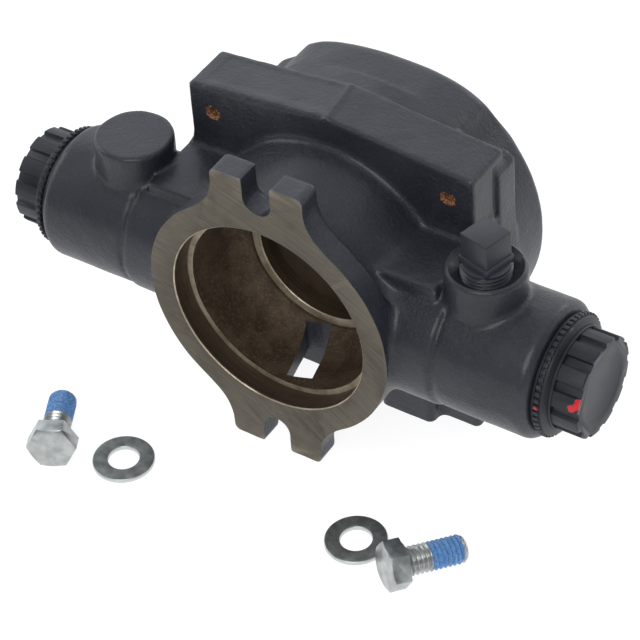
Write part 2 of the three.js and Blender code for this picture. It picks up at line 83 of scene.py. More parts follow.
def product_camera(azimuth, elevation, roll, distance, pan, focal_length):
    back = Vector((math.sin(azimuth) * math.cos(elevation), -math.cos(azimuth) * math.cos(elevation),
                   math.sin(elevation)))
    side = (-back).cross(Vector((0, 0, 1))).normalized()
    up = side.cross(-back)
    right = math.cos(roll) * side + math.sin(roll) * up
    ahead = (math.cos(pan) * -back + math.sin(pan) * right).normalized()
    right = (right - right.dot(ahead) * ahead).normalized()
    up = right.cross(ahead)
    lens = bpy.data.cameras.new("camera")
    lens.sensor_width = 36
    lens.lens = focal_length
    lens.clip_start, lens.clip_end = 0.05, 20
    camera = bpy.data.objects.new("camera", lens)
    facing_ahead = Matrix((right, up, -ahead)).transposed().to_4x4()
    camera.matrix_world = Matrix.Translation(PUMP + distance * back) @ facing_ahead
    bpy.context.collection.objects.link(camera)
    bpy.context.scene.camera = camera


def bright_behind(dark, bright):
    """Room that is dark in front, grows brighter behind the pump and is full towards its back wall"""
    room = bpy.data.worlds.new("room")
    room.use_nodes = True
    nodes, links = room.node_tree.nodes, room.node_tree.links
    towards = nodes.new("ShaderNodeTexCoord")
    parts = nodes.new("ShaderNodeSeparateXYZ")
    sweep = nodes.new("ShaderNodeValToRGB")
    for stop, place, colour in zip(sweep.color_ramp.elements, (0.0, 0.75), (dark, bright)):
        stop.position, stop.color = place, colour
    links.new(parts.inputs[0], towards.outputs["Generated"])
    links.new(sweep.inputs["Fac"], parts.outputs["Y"])
    links.new(nodes["Background"].inputs["Color"], sweep.outputs["Color"])
    return room


floor = pale_floor()
product_camera(azimuth=math.radians(36.845), elevation=math.radians(42.33), roll=math.radians(-5.238),
               distance=0.9576, pan=math.radians(1.005), focal_length=170.6)
centre = PUMP + Vector((0, 0.03, 0))
soft_box("rear_left", centre + Vector((-0.72, 0.8, 0.75)), centre, 0.9, 1.8, COOL)
soft_box("overhead", centre + Vector((0, 0.2, 1.2)), centre, 1.4, 2.6, COOL)
soft_box("left_fill", centre + Vector((-1.1, -0.1, 0.6)), centre, 0.8, 4.5)
soft_box("front_fill", centre + Vector((0.3, -0.95, 0.95)), centre, 0.9, 10)
soft_box("rear_edge", centre + Vector((0.3, 1.2, 0.5)), centre, 0.6, 2.5)
bpy.context.scene.world = bright_behind(dark=(0.14, 0.14, 0.15, 1), bright=(0.95, 0.97, 1, 1))
bpy.context.scene.view_settings.view_transform = "Standard"


# ---- Main casting ----
# Grey iron poured in one piece: motor end, dry chamber, port hubs, name pad, foot and pumping casing.
# Its skin is a field of distances in which neighbouring shapes flow together as cast fillets. The machined
# faces and bores are then cut sharp. Slate paint covers all but those and the chamber's raw wall.
FACE_RADIUS = 44.8
FACE_THICKNESS = 9.4
REGISTER_RADIUS, REGISTER_DEPTH = 35.5, 7.7
EAR_HALF_WIDTH, EAR_REACH = 16.9, 55.9
SLOT_HALF_WIDTH, SLOT_END_RADIUS = 5.2, 43.4
DRUM_RADIUS = 38.7
CHAMBER_RADIUS, CHAMBER_CORNER_Y, CHAMBER_CORNER = 33.5, 21.5, 11.5
RECESS_RADIUS, RECESS_DEPTH, BAND_RADIUS, BAND_Y = 24.2, 39.6, 27.2, 32.9
GEARS_Y = 68
PORT_Y, PORT_Z = 25.7, -1.35
HUB_RADIUS, HUB_END = 22.9, body_high.x / MM
COLLAR_RADIUS, COLLAR_END = 23.4, 58
PORT_BORE, PORT_FLOOR = 14.9, 48.4
BOSS_X, BOSS_RADIUS, BOSS_TOP = 65.8, 13.1, 31.5
BLOCK_HALF, BLOCK_Y = 52.9, 39.8
FLANGE_Y, FLANGE_END_Y = 60.3, 64.8
PAD_LOW, PAD_END, PAD_RIDGE = 25.8, 48, 53.1
SHELF_HALF, SHELF_Y, SHELF_TOP = 54, 14.6, 24
GROOVE_X, GROOVE_Y, GROOVE_LOW, GROOVE_HIGH = 53.1, 53.3, 25, 45
LUG_INNER, LUG_OUTER, LUG_TOP = 18.4, 38.7, -25.6
FLANGE_HALF, FLANGE_TOP, FLANGE_CORNER = 53.9, 43.5, 17.5
CASING_RADIUS, CASING_TOP, DOME_Y = 54.6, 49.4, 79.3
SCALLOP_RADIUS, SCALLOP_REACH = 12.4, 64.6 * math.sqrt(0.5)
CASING_BACK = (body_high.y - body_low.y) / MM
GROUND = -PUMP.z / MM
WINDOW_Y, WINDOW_TURN = 21.6, 14
PIN_X, PIN_Z = 43.9, 38.5
SCREW_CIRCLE = 35.8


def rounded(side, ends, edge):
    """Distance to a prism with its edges rounded, from the distances to its side and to its end planes"""
    side, ends = side + edge, ends + edge
    return np.minimum(np.maximum(side, ends), 0) + np.hypot(np.maximum(side, 0), np.maximum(ends, 0)) - edge


def between(along, start, end):
    return np.abs(along - (start + end) / 2) - (end - start) / 2


def merged(a, b, fillet):
    """Both shapes, joined by a fillet"""
    share = np.clip(0.5 + 0.5 * (b - a) / fillet, 0, 1)
    return b + (a - b) * share - fillet * share * (1 - share)


def without(a, b, edge=0.5):
    return -merged(-a, b, edge)


def common(a, b, edge=0.5):
    return -merged(-a, -b, edge)


def slab(x, y, z, x_reach, y_reach, z_reach, edge):
    across = rounded(between(x, *x_reach), between(z, *z_reach), edge)
    return rounded(across, between(y, *y_reach), edge)


def cast_waviness(x, y, z, depth):
    """Slight unevenness of a sand-cast skin"""
    wave = np.sin(x * 0.31 + 1.7 * np.sin(y * 0.23)) * np.sin(z * 0.29 + 1.3 * np.sin(x * 0.19 + 1))
    ripple = np.sin(x * 0.83 + z * 0.41) * np.sin(y * 0.77 - z * 0.36) * np.sin(z * 0.71 + y * 0.2)
    return depth * (wave + 0.6 * ripple)


def motor_plate(x, y, z, radius):
    """Face ring with an open-ended bolt slot between each of its two pairs of ears"""
    ears = rounded(np.abs(x) - EAR_HALF_WIDTH, np.abs(z) - EAR_REACH, 2.2)
    slot_end = SLOT_END_RADIUS + SLOT_HALF_WIDTH
    slot = np.where(np.abs(z) > slot_end, np.abs(x), np.hypot(x, np.abs(z) - slot_end))
    outline = without(merged(radius - FACE_RADIUS + 0.4, ears, 10), slot - SLOT_HALF_WIDTH, 0.6)
    return rounded(outline, between(y, -3, FACE_THICKNESS), 1.6)


def port_arms(x, y, z):
    """Hub with a collar and a gauge boss on either side, and a seam sunk beside each collar"""
    port = np.hypot(y - PORT_Y, z - PORT_Z)
    hubs = rounded(port - HUB_RADIUS, np.abs(x) - HUB_END, 3.4)
    collars = rounded(port - COLLAR_RADIUS, np.abs(x) - COLLAR_END, 0.6)
    seams = np.hypot(port - COLLAR_RADIUS - 0.2, np.abs(x) - COLLAR_END - 0.6) - 1.25
    boss = np.hypot(np.abs(x) - BOSS_X, y - PORT_Y)
    bosses = rounded(boss - BOSS_RADIUS, between(z, PORT_Z, BOSS_TOP), 1.5)
    return merged(without(merged(hubs, collars, 0.8), seams, 0.5), bosses, 2)


def name_pad(x, y, z):
    """Block with a pad on top, whose roof slopes to both sides and has a sunk panel and a parting ridge"""
    block = slab(x, y, z, (-BLOCK_HALF, BLOCK_HALF), (BLOCK_Y, FLANGE_Y + 2), (GROUND - 4, PAD_LOW + 2), 2)
    roof = 0.995 * (z - PAD_RIDGE + (PAD_RIDGE - PAD_END) / BLOCK_HALF * np.abs(x))
    panel = np.where((x < -3) & (x > -BLOCK_HALF + 5), 0.2, 0) * np.clip(
        between(y, BLOCK_Y + 3.5, FLANGE_Y - 3) / -0.8, 0, 1)
    parting = 0.7 * np.exp(-(x + 0.12 * (y - BLOCK_Y)) ** 2)
    sides = rounded(np.abs(x) - BLOCK_HALF, PAD_LOW - 4 - z, 1.2)
    outline = common(sides, roof + panel - parting, 1.4)
    return merged(block, rounded(outline, between(y, BLOCK_Y, FLANGE_Y - 0.9), 1.3), 1.5)


def rear_flange(x, y, z, radius):
    """Flange in front of the pumping casing, round at its two upper corners, and the neck it stands on"""
    flange = slab(x, y, z, (-FLANGE_HALF, FLANGE_HALF), (54, FLANGE_END_Y), (GROUND - 4, FLANGE_TOP), 1.2)
    beside = (np.abs(x) > 40) & (z > 30)
    corners = np.hypot(np.abs(x) - 40, z - 30) - FLANGE_CORNER + np.where(beside, 0, -60)
    neck = rounded(radius - CASING_RADIUS + 3.4, between(y, BLOCK_Y + 6, FLANGE_END_Y + 3), 1)
    return merged(common(flange, corners), neck, 2)


def pumping_casing(x, y, z, radius):
    """Round casing, flat on top and closing in towards the rear, with a scallop out of each quarter"""
    drop = 0.2 * np.maximum(y - DOME_Y, 0) ** 2
    casing = common(radius - CASING_RADIUS + drop, z - CASING_TOP + 0.2 * drop, 7)
    casing = common(casing, between(y, FLANGE_Y, CASING_BACK + 2.5), 0.8)
    for x_side in (-1, 1):
        for z_side in (-1, 1):
            scallop = np.hypot(x - x_side * SCALLOP_REACH, z - z_side * SCALLOP_REACH) - SCALLOP_RADIUS
            casing = without(casing, np.maximum(scallop, FLANGE_END_Y - y), 0.9)
    return casing


def dry_chamber(y, radius):
    corner_radius = np.maximum(radius - (CHAMBER_RADIUS - CHAMBER_CORNER), 0)
    corner = np.hypot(corner_radius, np.maximum(y - CHAMBER_CORNER_Y, 0)) - CHAMBER_CORNER
    chamber = np.where(y > CHAMBER_CORNER_Y, corner, radius - CHAMBER_RADIUS)
    return np.maximum(chamber, -3 - y)


def body_field(x, y, z):
    radius = np.hypot(x, z)
    drum = rounded(radius - DRUM_RADIUS - 0.12 * np.maximum(y - 12, 0), between(y, 2, BLOCK_Y + 2), 0.5)
    shelf = slab(x, y, z, (-SHELF_HALF, SHELF_HALF), (SHELF_Y, BLOCK_Y + 4), (-4, SHELF_TOP), 1.1)
    lugs = slab(np.abs(x), y, z, (LUG_INNER, LUG_OUTER), (34, BLOCK_Y + 4), (GROUND - 4, LUG_TOP), 2.4)
    grooves = np.maximum(np.hypot(y - GROOVE_Y, np.abs(x) - GROOVE_X) - 0.85,
                         np.maximum(z - GROOVE_HIGH, GROOVE_LOW - z))
    whole = merged(merged(drum, port_arms(x, y, z), 9), motor_plate(x, y, z, radius), 2)
    whole = merged(merged(whole, shelf, 1.3), name_pad(x, y, z), 2.6)
    whole = without(merged(whole, lugs, 3), grooves, 0.3)
    whole = merged(whole, rear_flange(x, y, z, radius), 1.2)
    whole = merged(whole, pumping_casing(x, y, z, radius), 1.6)
    whole = without(whole, dry_chamber(y, radius), 0.3)
    return whole + cast_waviness(x, y, z, 0.07)


CELL_CORNERS = np.array([(i, j, k) for i in (0, 1) for j in (0, 1) for k in (0, 1)])
CELL_EDGES = [(a, b) for a in range(8) for b in range(a + 1, 8)
              if np.abs(CELL_CORNERS[a] - CELL_CORNERS[b]).sum() == 1]


def cast_skin(field, low, high, pitch):
    """Surface where a field is zero: a corner in each cell it crosses, and four-sided faces between them"""
    low = np.array(low, float)
    counts = np.ceil((np.array(high) - low) / pitch).astype(int) + 1
    axes = [(low[a] + pitch * np.arange(counts[a])).astype(np.float32) for a in range(3)]
    values = field(*np.meshgrid(*axes, indexing="ij", sparse=True)).astype(np.float32)
    solid = values < 0
    filled = sum(solid[i:i + counts[0] - 1, j:j + counts[1] - 1, k:k + counts[2] - 1].astype(np.int8)
                 for i, j, k in CELL_CORNERS)
    cells = np.argwhere((filled > 0) & (filled < 8))
    number = np.full(counts - 1, -1, np.int32)
    number[tuple(cells.T)] = np.arange(len(cells))
    at_corner = np.stack([values[tuple((cells + corner).T)] for corner in CELL_CORNERS], 1)
    total, crossings = np.zeros((len(cells), 3)), np.zeros(len(cells))
    for a, b in CELL_EDGES:
        crosses = (at_corner[:, a] < 0) != (at_corner[:, b] < 0)
        share = at_corner[crosses, a] / (at_corner[crosses, a] - at_corner[crosses, b])
        total[crosses] += CELL_CORNERS[a] + share[:, None] * (CELL_CORNERS[b] - CELL_CORNERS[a])
        crossings[crosses] += 1
    corners = low + pitch * (cells + total / crossings[:, None])

    faces = []
    for along in range(3):
        across, over = (along + 1) % 3, (along + 2) % 3
        step = np.eye(3, dtype=int)
        inner = [slice(1, -1)] * 3
        inner[along] = slice(0, -1)
        ahead = list(inner)
        ahead[along] = slice(1, None)
        here, there = solid[tuple(inner)], solid[tuple(ahead)]
        start = np.argwhere(here != there) + np.array([0 if a == along else 1 for a in range(3)])
        round_edge = [start, start - step[across], start - step[across] - step[over], start - step[over]]
        quads = np.stack([number[tuple(cell.T)] for cell in round_edge], 1)
        leaving = solid[tuple(start.T)]
        faces.append(np.where(leaving[:, None], quads, quads[:, ::-1]))
    return corners, np.concatenate(faces)


class Form:
    """Corners in millimetres from the pump axis at the motor face, and the faces between them"""

    def __init__(self, corners, faces):
        self.corners = np.array(corners, float)
        self.faces = [tuple(int(i) for i in face) for face in faces]

    def moved(self, x=0, y=0, z=0):
        return Form(self.corners + (x, y, z), self.faces)

    def turned(self, degrees, axis):
        turn = np.array(Matrix.Rotation(math.radians(degrees), 3, axis))
        return Form(self.corners @ turn.T, self.faces)

    def made(self, name):
        mesh = bpy.data.meshes.new(name)
        mesh.from_pydata((self.corners * MM + np.array(PUMP)).tolist(), [], self.faces)
        mesh.validate()
        piece = bpy.data.objects.new(name, mesh)
        bpy.context.collection.objects.link(piece)
        return piece


def circle(radius, height, sides):
    return [(radius * math.cos(2 * math.pi * i / sides), radius * math.sin(2 * math.pi * i / sides), height)
            for i in range(sides)]


def band(lower, upper, sides):
    """Faces between two rings of corners, from the first corner of each"""
    return [(lower + i, lower + (i + 1) % sides, upper + (i + 1) % sides, upper + i) for i in range(sides)]


def revolved(profile, sides=128):
    """Solid of revolution about Z from (radius, height) points, its first and last on the axis"""
    corners, rows = [], []
    for radius, height in profile:
        if radius == 0:
            rows.append([len(corners)] * sides)
            corners.append((0, 0, height))
            continue
        rows.append(range(len(corners), len(corners) + sides))
        corners += circle(radius, height, sides)
    faces = []
    for lower, upper in zip(rows, rows[1:]):
        for i in range(sides):
            face = (lower[i], lower[(i + 1) % sides], upper[(i + 1) % sides], upper[i])
            faces.append(tuple(dict.fromkeys(face)))
    return Form(corners, faces)


def extruded(outline, low, high):
    """Prism along Z with an outline of (x, y) points"""
    count = len(outline)
    corners = [(x, y, low) for x, y in outline] + [(x, y, high) for x, y in outline]
    sides = [(i, (i + 1) % count, count + (i + 1) % count, count + i) for i in range(count)]
    return Form(corners, [tuple(reversed(range(count))), tuple(range(count, 2 * count))] + sides)


def box_form(x, y, z):
    return extruded([(x[0], y[0]), (x[1], y[0]), (x[1], y[1]), (x[0], y[1])], *z)


def cut_by(piece, tools, operation="DIFFERENCE"):
    """Machines a piece with closed tools, and leaves each cut's edges sharp"""
    for tool in tools:
        step = piece.modifiers.new("cut", "BOOLEAN")
        step.operation, step.solver, step.object = operation, "MANIFOLD", tool
    shaped = bpy.data.meshes.new_from_object(piece.evaluated_get(bpy.context.evaluated_depsgraph_get()))
    piece.modifiers.clear()
    piece.data = shaped
    for tool in tools:
        bpy.data.objects.remove(tool)
    return piece


def shaded(piece, sharp_above=32):
    piece.data.shade_smooth()
    piece.data.set_sharp_from_angle(angle=math.radians(sharp_above))
    return piece


def thread_form(outer, inner, pitch, low, high, lead=1.0, sides=72, per_turn=10):
    """Screw thread along Z: every row of corners follows the thread's height there, and its ends taper"""
    depth, rows = outer - inner, int((high - low) / pitch * per_turn) + 1
    corners = []
    for row in range(rows + 1):
        height = low + (high - low) * row / rows
        limit = min(1, (height - low) / lead, (high - height) / lead)
        for i in range(sides):
            turn = i / sides
            phase = (height / pitch - turn) % 1
            crest = min(1, max(0, 2.6 * min(phase, 1 - phase) - 0.15))
            radius = min(inner + depth * crest, inner - 0.25 * (1 - limit) + depth * limit)
            angle = 2 * math.pi * turn
            corners.append((radius * math.cos(angle), radius * math.sin(angle), height))
    faces = [face for row in range(rows) for face in band(row * sides, (row + 1) * sides, sides)]
    faces += [tuple(reversed(range(sides))), tuple(range(rows * sides, (rows + 1) * sides))]
    return Form(corners, faces)


def facing(form, side, x=0, y=0, z=0):
    """Turns a form made along Z to point along X to one side, and puts it in place"""
    return form.turned(90 * side, "Y").moved(x, y, z)


skin = cast_skin(body_field, (-94, -5, GROUND - 6), (94, CASING_BACK + 4, 58), 0.75)
casting = Form(*skin).made("painted_casting")

register_mouth, seal_way, bush_way, gear_way = REGISTER_RADIUS + 0.35, 12.9, 15.1, 32
register = revolved([(0, -9), (register_mouth, -9), (register_mouth, 0), (REGISTER_RADIUS, 0.35),
                     (REGISTER_RADIUS, REGISTER_DEPTH), (0, REGISTER_DEPTH)]).turned(-90, "X")
seal_bores = revolved([(0, 29), (BAND_RADIUS, 29), (BAND_RADIUS, BAND_Y), (RECESS_RADIUS + 0.3, BAND_Y),
                       (RECESS_RADIUS, BAND_Y + 0.3), (RECESS_RADIUS, RECESS_DEPTH), (seal_way, RECESS_DEPTH),
                       (seal_way, 42.4), (bush_way, 42.4), (bush_way, 50.7), (seal_way, 50.7),
                       (seal_way, GEARS_Y), (gear_way, GEARS_Y), (gear_way, CASING_BACK + 3),
                       (0, CASING_BACK + 3)]).turned(-90, "X")
window = box_form((-4.4, 4.4), (-10.4, 10.4), (-DRUM_RADIUS - 8, -20))
window = window.turned(WINDOW_TURN, "Z").moved(0, WINDOW_Y, 0)
port_tools = []
for side in (-1, 1):
    port_thread = thread_form(PORT_BORE + 1.1, PORT_BORE, 2.2, PORT_FLOOR + 12, HUB_END + 4, 0.5)
    port_bore = revolved([(0, PORT_FLOOR), (PORT_BORE, PORT_FLOOR), (PORT_BORE, HUB_END + 5),
                          (0, HUB_END + 5)])
    mouth = revolved([(0, HUB_END - 1.6), (PORT_BORE, HUB_END - 1.6), (PORT_BORE + 2.4, HUB_END + 0.8),
                      (PORT_BORE + 2.4, HUB_END + 5), (0, HUB_END + 5)])
    port_tools += [facing(form, side, y=PORT_Y, z=PORT_Z).made("port_tool")
                   for form in (port_bore, port_thread, mouth)]
gauge_way = revolved([(0, 0), (8.6, 0), (8.6, BOSS_TOP - 2.6), (9.2, BOSS_TOP - 2.3), (11.6, BOSS_TOP - 0.4),
                      (12.2, BOSS_TOP + 0.6), (0, BOSS_TOP + 0.6)], 72).moved(BOSS_X, PORT_Y)
pin_hole = revolved([(0, BLOCK_Y - 3), (2.5, BLOCK_Y - 3), (2.4, BLOCK_Y + 0.2), (1.7, BLOCK_Y + 1),
                     (1.6, BLOCK_Y + 6), (0, BLOCK_Y + 6)], 28).turned(-90, "X")
pins = [pin_hole.moved(side * PIN_X, 0, PIN_Z) for side in (-1, 1)]
screw_circle = [(SCREW_CIRCLE * math.cos(math.radians(turn)), SCREW_CIRCLE * math.sin(math.radians(turn)))
                for turn in np.arange(22.5, 360, 45)]
screw_holes = [revolved([(0, 75), (2.8, 75), (2.8, CASING_BACK + 3), (0, CASING_BACK + 3)], 24)
               .turned(-90, "X").moved(x, 0, z) for x, z in screw_circle]
past = 80
outside_tools = [box_form((-past, past), (-9, 0), (-past, past)),
                 box_form((-past, past), (CASING_BACK, CASING_BACK + 9), (-past, past)),
                 box_form((-2 * past, 2 * past), (-past, 2 * past), (GROUND - 12, GROUND))]
tools = [form.made("tool") for form in
         [*outside_tools, register, seal_bores, window, gauge_way, *pins, *screw_holes]]
cut_by(casting, tools + port_tools)
shaded(casting)


class Signal:
    """A node's output. Sums and products of it add Math nodes"""

    def __init__(self, finish, socket):
        self.finish, self.socket = finish, socket

    def worked(self, operation, *values):
        return self.finish.node("Math", {"operation": operation}, values)

    def __add__(self, other):
        return self.worked("ADD", self, other)

    __radd__ = __add__

    def __sub__(self, other):
        return self.worked("SUBTRACT", self, other)

    def __rsub__(self, other):
        return self.worked("SUBTRACT", other, self)

    def __mul__(self, other):
        return self.worked("MULTIPLY", self, other)

    __rmul__ = __mul__

    def step(self, start, end):
        """0 below start and 1 above end, with a soft change between them"""
        return self.finish.node("MapRange", {"interpolation_type": "SMOOTHSTEP"},
                                {"Value": self, "From Min": start, "From Max": end})


class Finish:
    """A material on Blender's main shader, with constants on the shader's own sockets"""

    def __init__(self, name, **constants):
        self.material = bpy.data.materials.new(name)
        self.material.use_nodes = True
        self.tree = self.material.node_tree
        self.shader = self.tree.nodes["Principled BSDF"]
        for socket, value in constants.items():
            self.put(self.shader.inputs[socket.replace("_", " ")], value)
        self.mm = self.node("VectorMath", {"operation": "SCALE"},
                            {"Vector": self.node("TexCoord", output="Object"), "Scale": 1 / MM})

    def put(self, socket, value):
        if isinstance(value, Signal):
            self.tree.links.new(value.socket, socket)
        else:
            socket.default_value = value

    def node(self, kind, settings=None, sockets=(), output=0):
        node = self.tree.nodes.new("ShaderNode" + kind)
        for name, value in (settings or {}).items():
            setattr(node, name, value)
        for key, value in (sockets.items() if isinstance(sockets, dict) else enumerate(sockets)):
            self.put(node.inputs[key], value)
        return Signal(self, node.outputs[output])

    def mix(self, amount, first, second):
        return self.node("Mix", {"data_type": "RGBA"}, {0: amount, 6: first, 7: second}, output=2)

    def noise(self, size, detail=3, roughness=0.5, along=None, distortion=0.0):
        """Noise with features of about that many millimetres"""
        return self.node("TexNoise", {}, {"Vector": along or self.mm, "Scale": 1 / size, "Detail": detail,
                                          "Roughness": roughness, "Distortion": distortion})

    def part(self, axis):
        return self.node("SeparateXYZ", {}, {"Vector": self.mm}, output=axis)

    def highlight_edges(self, low=0.52, high=0.6):
        """1 on the mesh's outward edges, the mask for painted edge highlights"""
        return self.node("NewGeometry", output="Pointiness").step(low, high)

    def bumped(self, height, depth, strength=1.0, below=None):
        """Relief of that many millimetres, on top of the relief below it"""
        sockets = {"Height": height, "Distance": depth * MM, "Strength": strength}
        if below:
            sockets["Normal"] = below
        return self.node("Bump", {}, sockets)

    def surface(self, **sockets):
        for name, value in sockets.items():
            self.put(self.shader.inputs[name.replace("_", " ")], value)
        return self.material


def paint(red, green, blue):
    """Linear colour from the red, green and blue of a colour chip, 0 to 255"""
    def linear(value):
        value /= 255
        return value / 12.92 if value <= 0.04045 else ((value + 0.055) / 1.055) ** 2.4
    return linear(red), linear(green), linear(blue), 1


def slate_paint(name="slate_paint", skin_depth=0.36, edge_highlight=0.75):
    """Semi-gloss slate paint over a sand-cast skin: soft mottling, orange peel, and a painted highlight on
    its edges
    """
    finish = Finish(name, Specular_IOR_Level=0.4, Coat_Roughness=0.22)
    mottle = finish.noise(17, 4)
    fine = finish.noise(0.9, 3, 0.6)
    colour = finish.mix(mottle.step(0.35, 0.7), paint(31, 33, 41), paint(39, 41, 50))
    colour = finish.mix(fine.step(0.56, 0.74) * 0.5, colour, paint(60, 64, 76))
    # Painted highlight: outward edges lightened towards a pale bluish grey.
    colour = finish.mix(finish.highlight_edges(0.53, 0.62) * edge_highlight, colour, paint(104, 109, 120))
    sand = finish.noise(1.4, 4, 0.65)
    peel = finish.noise(0.5, 2, 0.5)
    relief = finish.bumped(sand, skin_depth, 1.0)
    relief = finish.bumped(fine, 0.4 * skin_depth, 1.0, relief)
    relief = finish.bumped(peel, 0.035, 0.8, relief)
    rough = 0.38 + 0.14 * mottle + 0.12 * fine
    return finish.surface(Base_Color=colour, Roughness=rough, Coat_Weight=0.15 + 0.2 * mottle, Normal=relief)


def milled_iron():
    """Bare iron of the motor face: arcs of a face mill, a little brown with age, a few darker stains, a
    painted highlight on its edges
    """
    finish = Finish("milled_iron")
    centre = finish.node("VectorMath", {"operation": "LENGTH"}, {"Vector": finish.node(
        "VectorMath", {"operation": "ADD"}, {"Vector": finish.mm, 1: (95, 0, 150)})}, output="Value")
    arcs = finish.node("CombineXYZ", {}, {"X": centre, "Y": finish.noise(60, 1) * 6})
    lines = finish.noise(0.42, 3, 0.7, along=arcs)
    wide = finish.noise(2.4, 2, 0.6, along=arcs)
    stain = finish.noise(9, 4, 0.6)
    colour = finish.mix(lines.step(0.3, 0.72), paint(64, 58, 49), paint(101, 95, 83))
    colour = finish.mix(wide.step(0.45, 0.8) * 0.5, colour, paint(89, 83, 77))
    colour = finish.mix(stain.step(0.5, 0.78) * 0.55, colour, paint(65, 58, 48))
    # Painted highlight: outward edges lightened towards pale iron.
    colour = finish.mix(finish.highlight_edges(0.53, 0.62) * 0.6, colour, paint(169, 160, 144))
    relief = finish.bumped(lines, 0.012, 0.8, finish.bumped(wide, 0.02, 0.7))
    return finish.surface(Base_Color=colour, Metallic=0.55 + 0.2 * lines, Roughness=0.44 + 0.2 * stain,
                          Normal=relief)


def bored_iron():
    """Bores turned on a lathe: rings round the pump axis, bare and slightly rusted, with a painted highlight
    on their edges
    """
    finish = Finish("bored_iron")
    rings = finish.node("CombineXYZ", {}, {"X": finish.part("Y"), "Y": finish.noise(40, 1)})
    lines = finish.noise(0.35, 2, 0.6, along=rings)
    stain = finish.noise(6, 4, 0.6)
    colour = finish.mix(lines.step(0.3, 0.75), paint(67, 56, 44), paint(101, 88, 72))
    colour = finish.mix(stain.step(0.45, 0.75) * 0.6, colour, paint(61, 47, 34))
    # Painted highlight: outward edges lightened towards pale iron.
    colour = finish.mix(finish.highlight_edges(0.53, 0.6) * 0.9, colour, paint(193, 182, 164))
    return finish.surface(Base_Color=colour, Metallic=0.5 + 0.15 * lines, Roughness=0.42 + 0.2 * stain,
                          Normal=finish.bumped(lines, 0.012, 0.7))


def chamber_skin():
    """Raw cast wall of the dry chamber: coarse sand skin under a film of brown rust"""
    finish = Finish("chamber_skin", Specular_IOR_Level=0.35)
    sand = finish.noise(0.9, 5, 0.62)
    blotch = finish.noise(6, 4, 0.6)
    colour = finish.mix(blotch.step(0.35, 0.7), paint(67, 53, 41), paint(91, 76, 60))
    colour = finish.mix(sand.step(0.5, 0.68) * 0.7, colour, paint(108, 95, 77))
    relief = finish.bumped(sand, 0.3, 1.0, finish.bumped(blotch, 0.3, 0.6))
    return finish.surface(Base_Color=colour, Metallic=0.15 + 0.2 * sand, Roughness=0.55 + 0.2 * blotch,
                          Normal=relief)


def turned_edge_highlight():
    """Narrow turned faces and chamfers, painted brighter than the bores beside them as a highlight"""
    finish = Finish("turned_edge_highlight")
    stain = finish.noise(7, 3, 0.6)
    colour = finish.mix(stain.step(0.3, 0.75), paint(196, 184, 164), paint(134, 120, 98))
    return finish.surface(Base_Color=colour, Metallic=0.5 + 0.1 * stain, Roughness=0.34 + 0.2 * stain)


def hole_rust():
    """Rust in the two small drive-pin holes"""
    finish = Finish("hole_rust")
    grain = finish.noise(0.5, 3, 0.6)
    colour = finish.mix(grain.step(0.35, 0.65), paint(70, 44, 28), paint(168, 116, 74))
    return finish.surface(Base_Color=colour, Roughness=0.75 + 0.2 * grain, Normal=finish.bumped(grain, 0.1))


PAINTED, MILLED, BORED, SAND_SKIN, RUSTED, TURNED_HIGHLIGHT = range(6)


def casting_finishes(piece):
    """Gives each face of the casting its finish, from where it lies"""
    mesh = piece.data
    mesh.materials.clear()
    for material in (painted, milled_iron(), bored_iron(), chamber_skin(), hole_rust(), turned_edge_highlight()):
        mesh.materials.append(material)
    count = len(mesh.polygons)
    middle, normal = np.empty(3 * count, np.float32), np.empty(3 * count, np.float32)
    mesh.polygons.foreach_get("center", middle)
    mesh.polygons.foreach_get("normal", normal)
    x, y, z = (middle.reshape(-1, 3) - np.array(PUMP)).T / MM
    normal_y, normal_z = normal.reshape(-1, 3)[:, 1], normal.reshape(-1, 3)[:, 2]
    radius = np.hypot(x, z)
    slot = np.full(count, PAINTED, np.int32)
    skew = math.radians(WINDOW_TURN)
    in_window = (np.abs(x * math.cos(skew) + (y - WINDOW_Y) * math.sin(skew)) < 4.5) & (z < -20)
    slot[(radius < CHAMBER_RADIUS + 1.2) & (y > REGISTER_DEPTH) & (y < 34)
         & ~(in_window & (np.abs(normal_z) < 0.3))] = SAND_SKIN
    slot[(radius < RECESS_RADIUS + 0.1) & (y > 32.5) & (y < CASING_BACK + 1)] = BORED
    slot[(radius < 32.1) & (y > 60)] = BORED
    slot[(radius < REGISTER_RADIUS + 0.5) & (y < REGISTER_DEPTH + 0.05) & (y > 0.01)] = BORED
    # Register chamfer, register shoulder and the ring band take the brighter turned finish, a painted
    # highlight.
    slot[(radius > REGISTER_RADIUS - 0.5) & (radius < REGISTER_RADIUS + 0.5) & (y < 0.4)] = TURNED_HIGHLIGHT
    slot[(radius < REGISTER_RADIUS + 0.1) & (np.abs(y - REGISTER_DEPTH) < 0.06)] = TURNED_HIGHLIGHT
    slot[(radius < RECESS_RADIUS + 3.1) & (y > BAND_Y - 0.06) & (y < BAND_Y + 0.31)] = TURNED_HIGHLIGHT
    slot[(y < 0.05) & (normal_y < -0.9)] = MILLED
    slot[(y > CASING_BACK - 0.05) & (normal_y > 0.9)] = MILLED
    slot[(z < GROUND + 0.05) & (normal_z < -0.9)] = MILLED
    port = np.hypot(y - PORT_Y, z - PORT_Z)
    slot[(port < PORT_BORE + 1.3) & (np.abs(x) > PORT_FLOOR - 0.1)] = BORED
    pin = np.hypot(np.abs(x) - PIN_X, z - PIN_Z)
    slot[(pin < 2.6) & (y > BLOCK_Y - 0.6) & (y < BLOCK_Y + 7)] = RUSTED
    mesh.polygons.foreach_set("material_index", slot)


painted = slate_paint()
casting_finishes(casting)
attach(casting, "pump")
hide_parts("pump_body")


